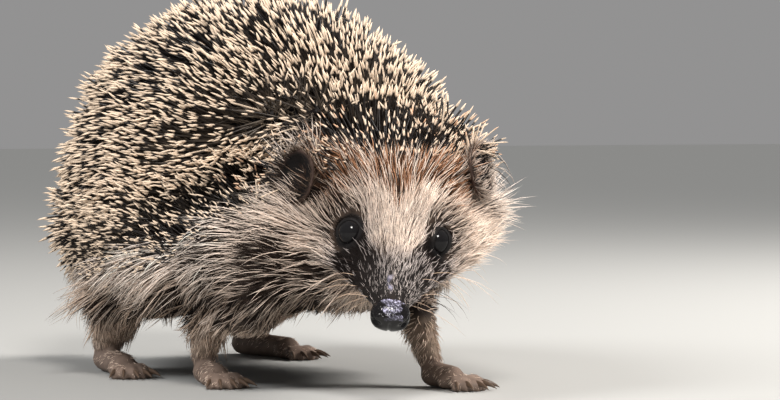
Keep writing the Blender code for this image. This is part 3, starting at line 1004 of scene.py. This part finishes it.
def comb_of_head(roots):
    """Back from the nose over the head, fanning out to the cheeks, and away from the eyes and the
    right ear. The left ear is sunk in the fur, which passes over it."""
    fan = ease(roots.side, 2, 20) * ease(roots.forward, 26, -6)
    droop = ease(roots.up, 2, -12) * ease(roots.forward, 14, -16)
    outward = np.tanh(roots.aside / 5) * (0.3 + 0.85 * fan)
    comb = np.stack((-np.ones(len(roots)), outward, 0.35 - 0.9 * droop), axis=1)
    away = roots.on_head - roots.head.ear(-1)
    comb = comb + unit(away) * ease(np.linalg.norm(away, axis=1), 9.5, 7)[:, None]
    comb = roots.head.turn(comb)
    for eye in roots.head.eyes:
        away = roots.points - eye.centre
        comb = comb + 1.6 * unit(away) * bump(np.linalg.norm(away, axis=1), 7.0)[:, None]
    return unit(comb)


def comb_of_body(roots, down):
    outward = np.sign(roots.points[:, 0]) * 0.15
    return unit(np.stack((outward, np.ones(len(roots)), -down), axis=1))


def lie_of_fur(roots):
    """The way the fur is combed: back from the nose over the head, then back and down."""
    low = ease(roots.height, 46, 16)
    combed = layered(
        comb_of_body(roots, 0.16 + 0.44 * low),
        (comb_of_head(roots), headness(roots)),
        (DOWN + 0.25 * BACK, limbness(roots)),
    )
    return on_surface(combed, roots.normals)


def crown_parting(roots):
    """How much roots belong to the crown, and how near they are to where it meets the back."""
    crown = ease(roots.forward, -85, -20)
    return crown, 4 * crown * (1 - crown)


def lie_of_spines(roots):
    """Spines fan out over the crown, point backwards on the back and slope down on the flanks."""
    flank = ease(np.abs(roots.normals[:, 0]), 0.35, 0.9)
    crown = crown_parting(roots)[0]
    combed = blend(comb_of_body(roots, 0.65 * flank - 0.05), comb_of_head(roots), crown)
    return on_surface(combed, roots.normals)


# --- the coat ---


def make_spines(skin):
    """Thousands of spines, each with a cream tip over a black band, criss-crossing as they lie."""
    source = np.random.default_rng(101)
    roots = skin.scatter(SPINE_TRIES, lambda spots: (spine_margin(spots) > 0) * 1.0, seed=7)
    closer = mix(1, 0.74, crown_parting(roots)[1])
    spacing = SPINE_SPACING * mix(0.76, 1.0, ease(spine_margin(roots), 2, 26)) * closer
    roots = roots.pick(spaced(roots.points, spacing))
    count = len(roots)
    margin = spine_margin(roots)
    edge = ease(margin, 0, 22)
    headings = lie_of_spines(roots)
    crown, parting = crown_parting(roots)
    brow = headness(roots) * ease(margin, 26, 4)
    lengths = SPINE_LENGTH * mix(0.52, 1.0, edge) * source.uniform(0.82, 1.08, count)
    lengths = lengths * mix(1, 0.82, np.maximum(brow, parting))
    widths = SPINE_WIDTH * mix(0.7, 1.0, edge) * mix(1, 0.85, crown)
    widths = widths * source.uniform(0.82, 1.1, count)
    swirl = 0.3 * ripple(roots.points, 24, 41) + 0.28 * ripple(roots.points, 8, 42)
    headings = turned(headings, roots.normals, swirl + source.normal(0, 0.32, count))
    lift = mix(0.58, 0.82, edge) + (0.36 * crown + 0.16 * parting) * edge
    lift = lift + source.normal(0, 0.19, count) + 0.14 * ripple(roots.points, 11, 43)
    stations = (0, 0.3, 0.79, 0.835, 0.92, 1)
    straight = np.zeros(count)
    lines = centre_lines(roots, headings, straight, lengths, lift, lift - 0.14, straight, stations)
    profile = (0.6, 0.85, 0.84, 1.04, 0.7)
    cream = blend(SPINE_CREAM * 0.7, SPINE_CREAM, source.uniform(size=count))
    rusty = (source.uniform(size=count) < 0.3 * brow)[:, None]
    cream = np.where(rusty, blend(RUST_FUR, SPINE_CREAM, source.uniform(0.3, 0.7, count)), cream)
    # Pale bands on the spines by the left ear: painted light where the backlight glows through
    # them.
    by_left_ear = bump(roots.away(roots.head.ear(1)), 12)
    pale = (source.uniform(size=count) < 0.03 + 0.7 * by_left_ear)[:, None]
    band = np.where(pale, SPINE_CREAM * 0.8, SPINE_BLACK * source.uniform(0.7, 1.3, (count, 1)))
    # Paler spine bases at the parting: partly the spines' own cream bases, partly painted light
    # that lifts the shade in the hollow there.
    base = blend(mix(band, BROWN_FUR, 0.25), SPINE_CREAM * 0.6, 0.55 * parting**2)
    shaft = blend(band, SPINE_CREAM * 0.5, 0.25 * parting**2)
    colours = np.stack((base, shaft, band, cream * 0.85, cream, cream), axis=1)
    material = tint_material("spine_keratin", 0.42, 0.4)
    add_strands("spines", roots, lines, widths, profile, colours, 4, material, pieces=3)


def make_fur(
    name, roots, lengths, widths, lift, material, lock, pull, seed,
    sag=0.0, stations=(0, 0.3, 0.65, 1), pieces=1,
):
    """Fur of pale hairs over darker, shorter ones. lock is how many hairs make a lock and pull is
    how closely they come together."""
    source = np.random.default_rng(seed)
    count = len(roots)
    guides = nearest_guides(roots.points, 1 / lock, source)
    tone = source.uniform(size=count)[guides]
    limit = mix(mix(0.14, 0.08, mask_share(roots)), 0.86, pale_share(roots))
    pale = mix(source.uniform(size=count), tone, 0.4) < limit
    swirl = 0.24 * ripple(roots.points, 13, seed + 1) + source.normal(0, 0.15, count)
    headings = turned(lie_of_fur(roots), roots.normals, swirl)
    bend = source.normal(0, 0.24, count)
    lengths = lengths * source.uniform(0.72, 1.2, count) * np.where(pale, 1.0, 0.75)
    lift = np.clip((lift + source.normal(0, 0.13, count)) * np.where(pale, 1.15, 0.75), 0.05, 1.4)
    sag = np.full(count, sag)
    lines = centre_lines(roots, headings, bend, lengths, lift, lift * 0.5, sag, stations)
    lines = drawn_to_locks(lines, guides, stations, pull)
    root, middle, tip = fur_colours(roots, pale, tone, source)
    colours = np.stack(
        [mix(mix(root, middle, min(1, s / 0.3)), tip, max(0, (s - 0.3) / 0.7)) for s in stations],
        axis=1,
    )
    profile = np.sqrt(1 - np.array(stations[:-1]))
    profile[0] = 0.7
    widths = widths * source.uniform(0.8, 1.2, count) * np.where(pale, 1.0, 0.9)
    add_strands(name, roots, lines, widths, profile, colours, 3, material, pieces)


def make_face_fur(skin, material):
    """Very short fine fur on the muzzle and round the eyes."""

    def density(spots):
        denser = np.interp(spots.forward, (0, 14, 26), (0.7, 1.2, 1.6))
        return head_density(spots) * ease(spots.forward, -1, 5) * denser

    roots = skin.scatter(FACE_HAIRS, density, seed=12)
    lash = lash_share(roots)
    lengths = np.interp(roots.forward, (0, 8, 16, 26), (7.0, 5.0, 3.2, 1.8)) * mix(1, 0.38, lash)
    widths = np.interp(roots.forward, (0, 8, 26), (0.25, 0.2, 0.13))
    lift = np.interp(roots.forward, (0, 8, 26), (0.4, 0.36, 0.3)) * mix(1, 0.5, lash)
    make_fur(
        "fur_face", roots, lengths, widths, lift, material, lock=3, pull=0.35, seed=250,
        stations=(0, 0.45, 1),
    )


def make_head_fur(skin, material):
    """Fine fur that lengthens over the brow and the cheeks, and lies flat on the left ruff."""

    def density(spots):
        denser = np.interp(spots.forward, (-40, -20, 0), (0.8, 1.0, 1.6))
        return head_density(spots) * ease(spots.forward, 6, 0) * denser

    roots = skin.scatter(HEAD_HAIRS, density, seed=13)
    forward, side, up = roots.forward, roots.side, roots.up
    lash = lash_share(roots)
    ruff = bump(roots.away(LEFT_RUFF), 18)
    wisp = np.random.default_rng(14).uniform(size=len(roots)) < 0.08
    lengths = np.interp(forward, (-30, -18, -8, 0, 8), (13, 12.5, 11.5, 8.8, 5.8))
    lengths = lengths * mix(1, 1.5, ease(side, 14, 27) * ease(up, 8, -6))
    lengths = lengths * mix(1, 0.38, lash) * mix(1, np.where(wisp, 1.0, 0.5), ruff)
    widths = np.interp(forward, (-30, -8, 8), (0.32, 0.29, 0.24))
    lift = np.interp(forward, (-30, -8, 6), (0.46, 0.44, 0.38)) + 0.06 * ease(side, 20, 32)
    lift = lift * mix(1, 0.55, ruff) * mix(1, 0.5, lash)
    sag = 0.4 * ease(side, 14, 30) * ease(up, 4, -10)
    make_fur(
        "fur_head", roots, lengths, widths, lift, material, lock=4, pull=0.45, seed=200,
        sag=sag, pieces=3,
    )


def make_ear_fur(skin, material):
    """Soft hair over the backs and rims of the ears, with a little in their hollows."""

    def density(spots):
        part, hollow = ear_shares(spots)
        return part * mix(1.0, np.where(spots.aside > 0, 0.16, 0.08), hollow)

    roots = skin.scatter(EAR_HAIRS, density, seed=15)
    left = roots.aside > 0
    lengths = np.random.default_rng(16).uniform(2.4, 4.8, len(roots)) * np.where(left, 1.25, 1)
    lift = np.where(left, 0.35, 0.38)
    make_fur("fur_ears", roots, lengths, 0.18, lift, material, lock=3, pull=0.3, seed=270)


def make_body_fur(skin, material):
    """The long coarse skirt of the flanks, throat and belly."""

    def density(spots):
        below = ease(spots.normals[:, 2], -0.55, -0.9)
        thinned = mix(1.0, 0.4, below) * mix(1.0, 0.6, on_tail(spots))
        furry = (1 - headness(spots)) * (spine_margin(spots) < 4) * (1 - limbness(spots))
        return furry * thinned

    roots = skin.scatter(BODY_HAIRS, density, seed=17)
    below = ease(roots.normals[:, 2], -0.3, -0.85)
    chest = ease(roots.points[:, 1], -20, -45) * ease(roots.height, 44, 30)
    lengths = mix(mix(21.0, 10.0, below), 8.0, chest) * mix(1, 0.6, ease(roots.height, 30, 18))
    lengths = mix(lengths, 2.2, on_tail(roots))
    lift = mix(0.27, 0.3, below)
    sag = mix(mix(0.36, 0.2, below), 0.15, chest)
    make_fur(
        "fur_body", roots, lengths, 0.37, lift, material, lock=9, pull=0.75, seed=300,
        sag=sag, stations=(0, 0.22, 0.48, 0.75, 1), pieces=3,
    )


def make_leg_fur(skin, material):
    """Short flat hair on the legs and the backs of the paws."""

    def density(spots):
        paw = ease(spots.height, 11, 6)
        return limbness(spots) * mix(1.0, 0.8 * ease(spots.normals[:, 2], -0.1, 0.4), paw)

    roots = skin.scatter(LEG_HAIRS, density, seed=19)
    lengths = np.interp(roots.height, (2, 9, 20), (1.8, 3.0, 5.2))
    widths = np.interp(roots.height, (2, 9, 20), (0.18, 0.21, 0.26))
    make_fur(
        "fur_legs", roots, lengths, widths, 0.28, material, lock=5, pull=0.4, seed=400, sag=0.1
    )


def make_whiskers(skin, material):
    """Fine stiff whiskers on the muzzle, and long pale hairs that arch off the cheeks."""
    source = np.random.default_rng(500)

    def muzzle(spots):
        rows = ease(spots.forward, 9, 13) * ease(spots.forward, 25, 21)
        return rows * (spots.side > 4) * ease(spots.up, -9, -7) * ease(spots.up, 0, -3)

    def cheek(spots):
        low = ease(spots.up, -6, -10) * ease(spots.up, -22, -16) * (headness(spots) > 0.5)
        return low * ease(spots.forward, -14, -8) * ease(spots.forward, 8, 2) * (spots.side > 9)

    stations = (0, 0.15, 0.35, 0.55, 0.78, 1)
    profile = (1, 0.95, 0.85, 0.7, 0.45)
    for name, density, number, shortest, longest, width in (
        ("whiskers", muzzle, 26, 9, 21, 0.14), ("cheek_hairs", cheek, 30, 14, 24, 0.2),
    ):
        roots = skin.scatter(number, density, seed=23)
        comb = np.sign(roots.aside)[:, None] * (0, 1.1, 0) + (-0.75, 0, -0.25)
        headings = on_surface(roots.head.turn(comb), roots.normals)
        headings = turned(headings, roots.normals, source.normal(0, 0.2, number))
        lengths = source.uniform(shortest, longest, number)
        lift = source.uniform(0.45, 0.75, number)
        bend, sag = source.normal(0, 0.2, number), np.full(number, 1.2)
        lines = centre_lines(roots, headings, bend, lengths, lift, lift * 0.3, sag, stations)
        shade = np.where(source.uniform(size=(number, 1)) < 0.6, BEIGE_FUR, DARK_FUR * 1.5)
        if density is cheek:
            shade = np.broadcast_to(PALE_FUR, (number, 3))
        colours = np.repeat(shade[:, None], len(stations), axis=1)
        widths = np.full(number, width)
        add_strands(name, roots, lines, widths, profile, colours, 4, material)


# --- eyes, lids, nose and claws ---


def make_eyes(eyes):
    material = plain_material("eye_black", EYE_BLACK, 0.03, specular=0.22)
    for eye in eyes:
        bm = bmesh.new()
        add_ball(bm, eye.centre, (eye.radius,) * 3, segments=48, rings=32)
        ball = mesh_from(bm, eye.node)
        add_piece(f"{eye.node}_ball", ball, material, nodes=(eye.node,))


def add_lids(mesh, eyes):
    """Soft lids round each eye, added to the skin: shells over the eyeball with a rounded edge."""
    bm = bmesh.new()
    bm.from_mesh(mesh)
    around = 64
    for eye in eyes:
        turns = [2 * math.pi * i / around for i in range(around)]
        rings = [[eye.on_lid(turn, *step) for step in LID_PROFILE] for turn in turns]
        add_loft(bm, rings, closed=True)
    bmesh.ops.recalc_face_normals(bm, faces=bm.faces)
    bm.to_mesh(mesh)
    bm.free()


def make_nose(head):
    """A broad wet pad: pebbled on top, with winged nostrils that open to the sides."""
    bm = bmesh.new()
    bmesh.ops.create_uvsphere(bm, u_segments=160, v_segments=110, radius=1)
    mesh = mesh_from(bm, "nose_pad")
    shape = mesh_points(mesh)
    points = np.sign(shape) * np.abs(shape) ** NOSE_BLUNTNESS * NOSE_HALF_SIZE
    forward, aside, up = points.T
    side = np.abs(aside)
    front = ease(forward, -1.8, 1.2)
    wing = bump(np.hypot(side - 4.1, (up + 0.3) / 1.3), 1.5)
    hole = bump(np.hypot((side - 3.9) / 1.25, up + 0.5), 0.95)
    slit = bump(np.hypot((side - 5.0) / 1.2, (up - 0.5 - 0.5 * (side - 4)) / 0.45), 1.0)
    groove = bump(aside, 0.4) * ease(up, 1.4, -0.4)
    top = ease(up, 0.6, 2.2) * ease(hole + slit, 0.5, 0.1)
    ridges = bump(ripple(points, 1.15, 51), 0.24)
    points[:, 0] += front * (0.8 * wing - 2.4 * hole - 1.3 * slit - 0.5 * groove)
    points[:, 2] -= 0.5 * ease(up, 1.5, 4) * ease(forward, -1, 3)
    points += shape * (0.2 * ridges * top)[:, None]
    points = node_centre("nose") + points @ head.axes
    set_points(mesh, points)
    edge = 0.9 * ripple(points, 2.4, 52)
    plateau = top * ease(np.abs(aside - 0.5) + edge, 3.0, 2.2) * ease(forward + edge, 3.4, 2.4)
    # Painted highlight: lilac-white glints on the ridges of the pebbled top, over the black pad.
    paint(mesh, blend(NOSE_BLACK, NOSE_GLINT_LILAC, plateau * mix(0.1, 1.0, ridges)))
    add_piece("nose_pad", mesh, tint_material("nose_wet", 0.09, 0.4), nodes=("nose",))


def claw_rings(tip, direction, around=10, along=7):
    """Rings of points along a claw that curves down to its point."""
    aside = Vector((direction.y, -direction.x, 0))
    angles = [2 * math.pi * j / around for j in range(around)]
    for i in range(along):
        t = i / (along - 1)
        middle = tip + direction * CLAW_LENGTH * (t - 0.12)
        middle.z += 0.5 + 0.7 * t - 2.1 * t * t
        radius = CLAW_RADIUS * (1 - t) ** 0.7 + 0.08
        across = aside * radius * 0.7
        yield [
            middle + across * math.cos(angle) + UP * (radius * math.sin(angle)) for angle in angles
        ]


def make_claws():
    """A curved tapering claw on every toe."""
    bm = bmesh.new()
    for name in PAWS:
        for _, _, tip, direction in toes(name):
            add_loft(bm, claw_rings(tip, direction), closed=False)
    for vertex in bm.verts:
        vertex.co.z = max(vertex.co.z, 0.0)
    material = plain_material("claw_horn", CLAW_HORN, 0.35)
    add_piece("claws", mesh_from(bm, "claws"), material)


# --- camera, light and floor ---


def view_axes():
    right = Vector((math.cos(CAMERA_AZIMUTH), -math.sin(CAMERA_AZIMUTH), 0))
    level = Vector((math.sin(CAMERA_AZIMUTH), math.cos(CAMERA_AZIMUTH), 0))
    return right, level


def make_camera():
    right, level = view_axes()
    ahead = level * math.cos(CAMERA_PITCH) - UP * math.sin(CAMERA_PITCH)
    place = right * CAMERA_ASIDE - level * CAMERA_DISTANCE
    place += Vector((0, CAMERA_AIMS_AT_Y, CAMERA_HEIGHT))
    data = bpy.data.cameras.new("camera")
    data.sensor_width = SENSOR_WIDTH
    data.sensor_fit = "HORIZONTAL"
    data.lens = LENS
    data.clip_start = 0.01
    turn = Matrix((right, right.cross(ahead), -ahead)).transposed()
    matrix = Matrix.Translation(place * MM) @ turn.to_4x4()
    bpy.context.scene.camera = add_object("camera", data, matrix)


def aimed(direction):
    """Turns a light, which shines along -Z, to a direction."""
    return direction.to_track_quat("-Z", "Y").to_matrix().to_4x4()


def add_soft_light(name, place, size, power):
    """A square soft light aimed at the animal's middle."""
    data = bpy.data.lights.new(name, "AREA")
    data.size = size
    data.energy = power
    data.color = WARM_LIGHT
    return add_object(name, data, Matrix.Translation(place) @ aimed(LIGHTS_AIM - place))


def make_lights():
    """A key light above the camera, a rim light behind on the right, a sun as fill, and the sky."""
    right, level = view_axes()
    add_soft_light("key", right * 0.1 - level * 0.72 + UP * 0.72, KEY_SIZE, KEY_POWER)
    rim = add_soft_light("rim", right * 0.75 + level * 0.3 + UP * 0.65, RIM_SIZE, RIM_POWER)
    data = bpy.data.lights.new("fill", "SUN")
    data.energy = FILL_STRENGTH
    data.angle = FILL_ANGLE
    fill = add_object("fill", data, aimed(right * 0.9 + level * 0.5 - UP * 0.85))
    # Only the key light shows in the eyes.
    for light in (rim, fill):
        light.visible_glossy = False
    world = bpy.data.worlds.new("studio")
    world.use_nodes = True
    background = world.node_tree.nodes["Background"]
    background.inputs["Color"].default_value = (*STUDIO_GREY, 1)
    background.inputs["Strength"].default_value = WORLD_STRENGTH
    bpy.context.scene.world = world


def make_floor():
    bpy.ops.mesh.primitive_plane_add(size=FLOOR_SIZE, location=(0, 0, 0))
    floor = bpy.context.object
    floor.name = "floor"
    floor.data.materials.append(plain_material("floor_pale", FLOOR_PALE, 0.9, specular=0.1))
    floor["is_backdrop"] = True


def main():
    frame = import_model()
    cad_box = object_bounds()
    head = Head()

    skin_mesh = make_skin_mesh(frame["nodes"], head)
    add_lids(skin_mesh, head.eyes)
    skin = Skin(skin_mesh, head)
    paint(skin_mesh, skin_colours(skin.spots))
    under_coat = tint_material("skin_under_coat", 0.6, 0.2)
    add_piece("skin", skin_mesh, under_coat, nodes=FLESH_NODES)

    make_spines(skin)
    fur = tint_material("fur_hair", 0.5, 0.1)
    for make in (
        make_face_fur, make_head_fur, make_ear_fur, make_body_fur, make_leg_fur, make_whiskers,
    ):
        make(skin, fur)
    make_eyes(head.eyes)
    make_nose(head)
    make_claws()

    make_camera()
    make_lights()
    make_floor()
    bpy.context.scene.view_settings.view_transform = "Standard"

    boxes = {"cad": cad_box, "visual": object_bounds()}
    {name: [list(map(float, corner)) for corner in box] for name, box in boxes.items()}


main()
